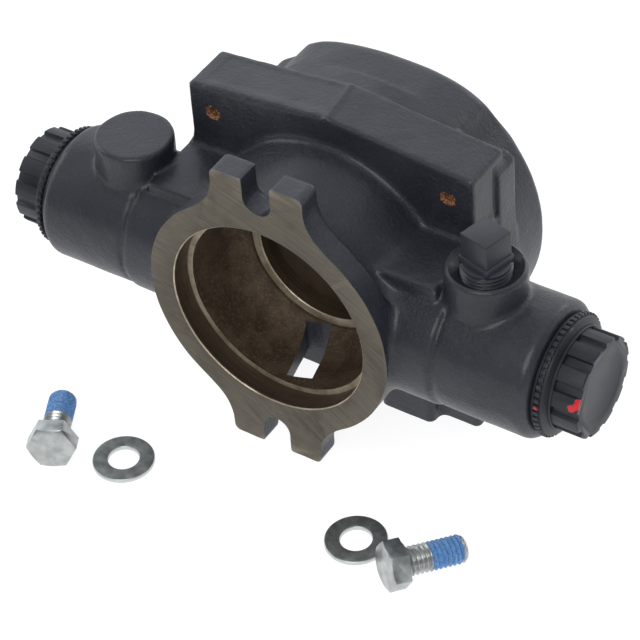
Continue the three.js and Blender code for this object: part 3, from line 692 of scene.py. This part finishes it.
# ---- Rear head, its gasket and screws ----
# A round cast-iron cover bolted to the casing's machined rear face over a fibre gasket. It carries the
# idler's pin and the crescent, and its screws sit on spot faces.
HEAD_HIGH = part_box("rear_head")[1].y / MM - FACE_Y
HEAD_FRONT, HEAD_RADIUS, HEAD_SEAT = CASING_BACK + 1.2, 39.6, 89


def arc(radius, height, edge, steps=6):
    """Rounded edge of a revolved piece, from its side up to its end"""
    return [(radius - edge + edge * math.cos(t), height - edge + edge * math.sin(t))
            for t in np.linspace(0, math.pi / 2, steps)]


def hex_head(flats, height, chamfer=0.86):
    """Hexagonal head from z = 0 up, its top corners turned off"""
    corner = flats / math.sqrt(3)
    outline = [(x, y) for x, y, _ in circle(corner, 0, 6)]
    turned = revolved([(0, -1), (corner + 0.05, -1), (corner + 0.05, height - (corner - flats / 2) * 0.6),
                       (corner * chamfer, height), (0, height)], 96)
    return cut_by(extruded(outline, 0, height).made("hex"), [turned.made("turned")], "INTERSECT")


def softened(piece, width, segments=2, above=40):
    """Breaks the piece's sharp edges"""
    step = piece.modifiers.new("edges", "BEVEL")
    step.width, step.segments, step.use_clamp_overlap = width * MM, segments, True
    step.limit_method, step.angle_limit = "ANGLE", math.radians(above)
    piece.data = bpy.data.meshes.new_from_object(piece.evaluated_get(bpy.context.evaluated_depsgraph_get()))
    piece.modifiers.clear()
    return piece


def set_down(piece, degrees, axis, x, y, z):
    """Turns a piece made at the zero of the pump axis, then moves it by millimetres"""
    piece.data.transform(Matrix.Translation(-PUMP))
    piece.data.transform(Matrix.Rotation(math.radians(degrees), 4, axis))
    piece.data.transform(Matrix.Translation(PUMP + MM * Vector((x, y, z))))
    return piece


def dressed(piece, name, material, body, nodes, sharp_above=32):
    """Names a finished piece, gives it its finish and hands it to its CAD body"""
    piece.name = piece.data.name = name
    piece.data.materials.clear()
    piece.data.materials.append(material)
    shaded(piece, sharp_above)
    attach(piece, body)
    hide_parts(*nodes)


def bright_steel(name, red=150, green=150, blue=148):
    """Machined steel with fine tool lines and a thin film of oil"""
    finish = Finish(name, Coat_Roughness=0.2)
    lines = finish.noise(0.3, 3, 0.6)
    smear = finish.noise(5, 3)
    colour = finish.mix(lines.step(0.3, 0.7), paint(red - 22, green - 22, blue - 22), paint(red, green, blue))
    return finish.surface(Base_Color=colour, Metallic=0.9 + 0.05 * lines, Roughness=0.28 + 0.2 * smear,
                          Normal=finish.bumped(lines, 0.01, 0.5))


cover = revolved([(0, HEAD_FRONT), (HEAD_RADIUS, HEAD_FRONT), *arc(HEAD_RADIUS, HEAD_FRONT + 3.6, 1.2),
                  *arc(HEAD_RADIUS - 1.6, HEAD_HIGH, 2.8, 8), (24, HEAD_HIGH), (22.5, HEAD_HIGH - 0.8),
                  (0, HEAD_HIGH - 0.8)], 152).turned(-90, "X").made("cover")
spot_faces = [revolved([(0, HEAD_SEAT), (5.2, HEAD_SEAT), (5.6, HEAD_HIGH + 2), (0, HEAD_HIGH + 2)], 48)
              .turned(-90, "X").moved(x, 0, z).made("spot") for x, z in screw_circle]
cut_by(cover, spot_faces)
dressed(cover, "painted_rear_head", painted, "pump", ["rear_head"])

screw_steel = bright_steel("screw_steel", 118, 118, 116)
for index, (x, z) in enumerate(screw_circle, 1):
    screw = softened(hex_head(8, 2.4), 0.15)
    shank = revolved([(0, -14), (2, -14), (2.5, -13.4), (2.5, 0.2), (0, 0.2)], 32).made("shank")
    collar = revolved([(0, 0), (3.9, 0), (3.9, 0.35), (0, 0.35)], 48).made("collar")
    cut_by(screw, [shank, collar], "UNION")
    set_down(screw, -90, "X", x, HEAD_SEAT + 0.3, z)
    dressed(screw, f"head_screw_finished_{index}", screw_steel, "pump", [f"head_screw_{index}"])


def fibre():
    """Pressed fibre gasket"""
    finish = Finish("gasket_fibre")
    strands = finish.noise(0.8, 4, 0.7)
    colour = finish.mix(strands, paint(86, 72, 55), paint(124, 106, 84))
    return finish.surface(Base_Color=colour, Roughness=0.85 + 0.1 * strands,
                          Normal=finish.bumped(strands, 0.05))


def keep(node, material):
    """A CAD node that keeps its shape and takes a finish"""
    mesh = frame["nodes"][node].data
    mesh.materials.clear()
    mesh.materials.append(material)


keep("head_gasket", fibre())


# ---- Pumping gears, shaft and seal ----
# Steel ring gear and idler on a fixed pin, a hollow shaft keyed to the rotor and the motor, a bronze bush,
# and a spring-loaded carbon face on a ceramic seat. Only the shaft's end shows, at the bottom of the chamber.
def bronze():
    finish = Finish("bearing_bronze")
    grain = finish.noise(0.6, 3)
    return finish.surface(Base_Color=finish.mix(grain, paint(150, 112, 62), paint(190, 148, 90)),
                          Metallic=0.9 + 0.05 * grain, Roughness=0.3 + 0.2 * grain)


def moulded(name, dark, light, rough):
    finish = Finish(name)
    grain = finish.noise(0.7, 3)
    return finish.surface(Base_Color=finish.mix(grain, dark, light), Roughness=rough + 0.15 * grain,
                          Normal=finish.bumped(grain, 0.01, 0.5))


ground_steel, bush_bronze = bright_steel("ground_steel"), bronze()
carbon = moulded("seal_carbon", paint(26, 26, 28), paint(48, 48, 50), 0.35)
ceramic = moulded("seat_ceramic", paint(196, 188, 172), paint(224, 218, 204), 0.2)
for node in ("rotor", "idler_gear", "idler_pin", "rotor_key", "seal_spring"):
    keep(node, ground_steel)
for node in ("shaft_bush", "seal_collar"):
    keep(node, bush_bronze)
for node in ("idler_bush", "seal_face"):
    keep(node, carbon)
keep("seal_seat", ceramic)

shaft_low, shaft_high = (corner.y / MM - FACE_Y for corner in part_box("pump_shaft"))
SHAFT_RADIUS, SHAFT_BORE, SHAFT_BORE_END = 9.2, 6.35, shaft_low + 16
shaft_nose = [(r, 2 * shaft_low - h) for r, h in reversed(arc(SHAFT_RADIUS, shaft_low, 0.8))]
shaft = revolved([(0, shaft_low), *shaft_nose, (SHAFT_RADIUS, shaft_high), (0, shaft_high)], 96)
shaft = shaft.turned(-90, "X").made("shaft")
shaft_bore = revolved([(0, shaft_low - 2), (7.1, shaft_low - 2), (SHAFT_BORE, shaft_low + 0.7),
                       (SHAFT_BORE, SHAFT_BORE_END), (0, SHAFT_BORE_END)], 72).turned(-90, "X").made("bore")
key_way = box_form((-1.6, 1.6), (shaft_low - 2, shaft_low + 14), (0, 8)).made("key_way")
rotor_key_way = box_form((-2.3, 2.3), (GEARS_Y, shaft_high - 0.001), (7.2, 11)).made("rotor_key_way")
dressed(cut_by(shaft, [shaft_bore, key_way, rotor_key_way]), "turned_pump_shaft", ground_steel, "rotor",
        ["pump_shaft"])


# ---- Thread protectors ----
# Red plastic plugs screwed into both ports before painting, so paint covers all but a few chips. Each has a
# thin rim against the hub, a ring of small ribs, a bevelled flange and a grip with twelve raised lobes.
PLUG_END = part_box("port_plug_right")[1].x / MM - HUB_END


def stepped_ring(inner, outer, teeth, raised, turn=0.0):
    """Outline of square teeth: each is raised over that share of its pitch"""
    points = []
    for i in range(teeth):
        start = (i + turn) / teeth * 2 * math.pi
        for share, radius in ((0.0, inner), (0.04, outer), (raised / 2, outer), (raised, outer),
                              (raised + 0.04, inner), ((1 + raised) / 2, inner)):
            angle = start + share / teeth * 2 * math.pi
            points.append((radius * math.cos(angle), radius * math.sin(angle)))
    return points


def protector(side, turn):
    rim = revolved([(0, -13.5), (14, -13.5), (14, -1), (14, 0.3), (19.5, 0.3), *arc(19.7, 1.2, 0.2, 3),
                    (19.1, 1.25), (19.1, 1.6), (19.6, 1.6), (19.6, 3.3), *arc(19.6, 4.1, 0.4, 4), (17.9, 4.9),
                    (17.3, 5), (17.3, 5.5), (17.1, 5.8), (0, 5.8)], 144).made("rim")
    thread = thread_form(14.6, 13.6, 2.2, -13.2, -0.2, 1.5).made("thread")
    ribs = extruded(stepped_ring(19.8, 20.5, 54, 0.6), 1.65, 3.25).made("ribs")
    grip = extruded(stepped_ring(15.5, 16.75, 12, 0.64, turn), 5, PLUG_END).made("grip")
    taper = revolved([(0, 4), (17.4, 4), (16.9, PLUG_END - 0.5), (16.3, PLUG_END), (0, PLUG_END)], 96)
    taper = taper.made("taper")
    softened(cut_by(grip, [taper], "INTERSECT"), 0.28)
    softened(ribs, 0.12)
    cut_by(rim, [thread, ribs, grip], "UNION")
    hollow = revolved([(0, -15), (11.8, -15), (11.8, 0.5), (0, 0.5)], 72).made("hollow")
    dish = revolved([(0, PLUG_END - 0.35), (11.2, PLUG_END - 0.35), (12, PLUG_END), (12.2, PLUG_END + 1),
                     (0, PLUG_END + 1)], 96).made("dish")
    cut_by(rim, [hollow, dish])
    return set_down(rim, 90 * side, "Y", side * HUB_END, PORT_Y, PORT_Z)


def oversprayed_plastic(name, chips):
    """Slate overspray on red plastic with a painted highlight on its edges, chipped through at given places
    (x, y, z, radius) in millimetres
    """
    finish = Finish(name, Specular_IOR_Level=0.4)
    peel = finish.noise(0.8, 3, 0.6)
    mottle = finish.noise(6, 3)
    colour = finish.mix(mottle.step(0.3, 0.7), paint(26, 28, 35), paint(35, 38, 45))
    # Painted highlight: outward edges of the overspray lightened.
    colour = finish.mix(finish.highlight_edges(0.54, 0.66) * 0.6, colour, paint(92, 95, 102))
    bare = 0.0
    for x, y, z, radius in chips:
        away = finish.node("VectorMath", {"operation": "DISTANCE"}, (finish.mm, (x, y, z)), output="Value")
        bare = bare + (1 - (away + 1.2 * finish.noise(0.8, 2) - 0.6).step(radius - 0.12, radius + 0.12))
    bare = (bare + 0.0).step(0.3, 0.7)
    colour = finish.mix(bare, colour, paint(205, 30, 38))
    return finish.surface(Base_Color=colour, Roughness=0.4 + 0.14 * mottle - 0.05 * bare,
                          Normal=finish.bumped(peel, 0.05, 0.9))


def chip(x, y, z, radius):
    """Place of a chip, from millimetres off the pump axis to millimetres in the whole part's frame"""
    return x, y + FACE_Y, z - GROUND, radius


left_chips = [chip(-HUB_END - 5, PORT_Y - 17.5, PORT_Z - 9, 1.2)]
grip_end = HUB_END + PLUG_END
right_chips = [chip(grip_end - 0.4, PORT_Y - 15.2, PORT_Z + 6.8, 1.0),
               chip(grip_end - 0.6, PORT_Y - 15.7, PORT_Z + 5, 1.3),
               chip(grip_end - 2.2, PORT_Y - 16, PORT_Z + 3.8, 1.3),
               chip(grip_end - 0.3, PORT_Y + 13.5, PORT_Z + 8.6, 0.8),
               chip(HUB_END + 2.4, PORT_Y - 20.1, PORT_Z + 2.2, 0.9)]
for side, node, turn, chips in ((-1, "port_plug_left", 0.3, left_chips),
                                (1, "port_plug_right", 0.1, right_chips)):
    plastic = oversprayed_plastic(node + "_plastic", chips)
    dressed(protector(side, turn), node + "_moulded", plastic, node, [node])


# ---- Gauge plug ----
# Square-head pipe plug in the right boss, painted with the pump. Three turns of its thread show above the
# boss's mouth.
SQUARE_BASE, SQUARE_TOP = 33.4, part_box("gauge_plug")[1].z / MM + GROUND
SQUARE_TURN = -14
half = 5.55
square = box_form((-half, half), (-half, half), (SQUARE_BASE - 1.2, SQUARE_TOP))
square = softened(square.turned(SQUARE_TURN, "Z").moved(BOSS_X, PORT_Y).made("square"), 0.35, 3)
plug_thread = thread_form(8.3, 7.5, 1.41, 17.4, SQUARE_BASE - 0.9, 0.7, 96, 12).moved(BOSS_X, PORT_Y)
shoulder = revolved([(0, SQUARE_BASE - 1.2), (7.4, SQUARE_BASE - 1.2), (8, SQUARE_BASE - 0.8),
                     (8, SQUARE_BASE - 0.3), (7.2, SQUARE_BASE + 0.1), (0, SQUARE_BASE + 0.6)], 96)
wide = (-half - 0.5, half + 0.5)
ledge = box_form(wide, wide, (SQUARE_BASE - 0.9, SQUARE_BASE + 2.6)).turned(SQUARE_TURN, "Z")
ledge = softened(ledge.moved(BOSS_X, PORT_Y).made("ledge"), 0.4, 3)
shoulder = shoulder.moved(BOSS_X, PORT_Y).made("shoulder")
cut_by(square, [plug_thread.made("thread"), shoulder, ledge], "UNION")
plug_paint = slate_paint("plug_paint", 0.04, 0)
dressed(square, "painted_gauge_plug", plug_paint, "gauge_plug", ["gauge_plug"])


# ---- Mounting bolts and washers ----
# Zinc-plated hexagon bolts with a blue locking patch on the outer part of the thread, lying on the floor with
# their plain stamped washers, darker on top and painted bright as a highlight on the rolled edge.
BOLT_HEAD, SHANK_LENGTH, BOLT_FLATS, SHANK_RADIUS, BOLT_PITCH = 6, 21, 14.6, 4.76, 25.4 / 16


def zinc_bolt(name, axis_from, axis_to):
    """Zinc plate, with the locking patch between two places along the bolt"""
    finish = Finish(name)
    grain = finish.noise(0.7, 3, 0.6)
    smear = finish.noise(4, 3)
    zinc = finish.mix(smear.step(0.3, 0.7), paint(158, 162, 161), paint(190, 194, 192))
    zinc = finish.mix(grain.step(0.62, 0.8) * 0.5, zinc, paint(132, 136, 134))
    reach = finish.node("Attribute", {"attribute_name": "along"}, output="Fac")
    edge = finish.noise(1.6, 2) * 1.4
    worn_reach = reach + edge
    patch = worn_reach.step(axis_from, axis_from + 0.3) * (1 - worn_reach.step(axis_to, axis_to + 0.3))
    blue = finish.mix(grain.step(0.35, 0.7), paint(72, 122, 178), paint(118, 164, 214))
    return finish.surface(Base_Color=finish.mix(patch, zinc, blue), Metallic=0.95 * (1 - patch),
                          Roughness=0.28 + 0.14 * smear + 0.15 * patch,
                          Normal=finish.bumped(grain, 0.015, 0.6))


bolt_finish = zinc_bolt("zinc_and_patch", 9.2, 20)
for node, x, y, heading in (("mount_bolt_left", -62.4, -38.6, math.degrees(math.atan2(23.5, -12.5))),
                            ("mount_bolt_right", 66.2, -29.9, math.degrees(math.atan2(22.6, 16.1)))):
    bolt = softened(hex_head(BOLT_FLATS, BOLT_HEAD), 0.22)
    shank = thread_form(SHANK_RADIUS, SHANK_RADIUS - 0.75, BOLT_PITCH, -SHANK_LENGTH, 0.2, 1.3, 72, 12)
    seat = revolved([(0, -0.45), (6.9, -0.45), (7, 0.3), (0, 0.3)], 72).made("seat")
    cut_by(bolt, [shank.made("shank"), seat], "UNION")
    corners = np.empty(3 * len(bolt.data.vertices), np.float32)
    bolt.data.vertices.foreach_get("co", corners)
    along = bolt.data.attributes.new("along", "FLOAT", "POINT")
    along.data.foreach_set("value", -(corners.reshape(-1, 3)[:, 2] - PUMP.z) / MM)
    bolt.data.transform(Matrix.Translation(-PUMP))
    lean = math.atan2(BOLT_FLATS / 2 - SHANK_RADIUS, SHANK_LENGTH)
    bolt.data.transform(Matrix.Rotation(math.pi / 2 - lean, 4, "X"))
    bolt.data.transform(Matrix.Rotation(math.radians(heading - 90), 4, "Z"))
    lowest = min(corner.co.z for corner in bolt.data.vertices)
    bolt.data.transform(Matrix.Translation((x * MM, y * MM + PUMP.y, -lowest)))
    dressed(bolt, node + "_plated", bolt_finish, node, [node], 38)


def stamped_steel():
    """Plate of a stamped washer: darker on faces turned up, painted bright as a highlight on the rolled edge
    and the other faces
    """
    finish = Finish("washer_plate")
    grain = finish.noise(0.8, 4, 0.6)
    smear = finish.noise(3.5, 3)
    top = finish.node("NewGeometry", output="Normal")
    facing_up = finish.node("SeparateXYZ", {}, {"Vector": top}, output="Z").step(0.7, 0.98)
    darker_top = finish.mix(smear.step(0.3, 0.75), paint(120, 124, 122), paint(158, 162, 160))
    # Painted highlight: every face not turned up, the rolled edge among them, takes the bright colour; faces
    # turned up keep the darker one.
    colour = finish.mix(facing_up, paint(206, 209, 208), darker_top)
    return finish.surface(Base_Color=colour, Metallic=0.85 - 0.1 * smear, Roughness=0.36 + 0.15 * grain,
                          Normal=finish.bumped(grain, 0.02, 0.6))


washer_finish = stamped_steel()
WASHER_BORE, WASHER_RADIUS, WASHER_THICK, WASHER_SIDES = 5.15, 10.3, 1.65, 96
rolled_mouth = [(WASHER_BORE + 0.35 - 0.35 * math.sin(t), WASHER_THICK - 0.35 + 0.35 * math.cos(t))
                for t in np.linspace(0, math.pi / 2, 4)]
profile = [(WASHER_BORE, 0.15), (WASHER_BORE + 0.15, 0), (WASHER_RADIUS - 0.3, 0), (WASHER_RADIUS, 0.3),
           (WASHER_RADIUS, WASHER_THICK - 0.55), *arc(WASHER_RADIUS, WASHER_THICK, 0.5, 5), *rolled_mouth]
corners = [corner for radius, height in profile for corner in circle(radius, height, WASHER_SIDES)]
starts = [row * WASHER_SIDES for row in range(len(profile))]
faces = [face for lower, upper in zip(starts, starts[1:] + starts[:1])
         for face in band(lower, upper, WASHER_SIDES)]
for node, x, y in (("mount_washer_left", -40.6, -30.6), ("mount_washer_right", 45.1, -23.8)):
    washer = Form(corners, faces).moved(x, y, GROUND).made(node + "_form")
    dressed(washer, node + "_stamped", washer_finish, node, [node])


# ---- Floor's finish ----
# The sheet laid in the first section is milky acrylic lit from below, so shadows on it stay faint.
def floor_finish():
    finish = Finish("pale_floor", Specular_IOR_Level=0.2)
    cloud = finish.noise(400, 2)
    sheet = finish.mix(cloud, paint(120, 120, 121), paint(130, 130, 131))
    glow = finish.mix(cloud, paint(250, 250, 251), paint(254, 254, 255))
    return finish.surface(Base_Color=sheet, Roughness=0.6, Emission_Color=glow, Emission_Strength=0.93)


floor.data.materials.append(floor_finish())
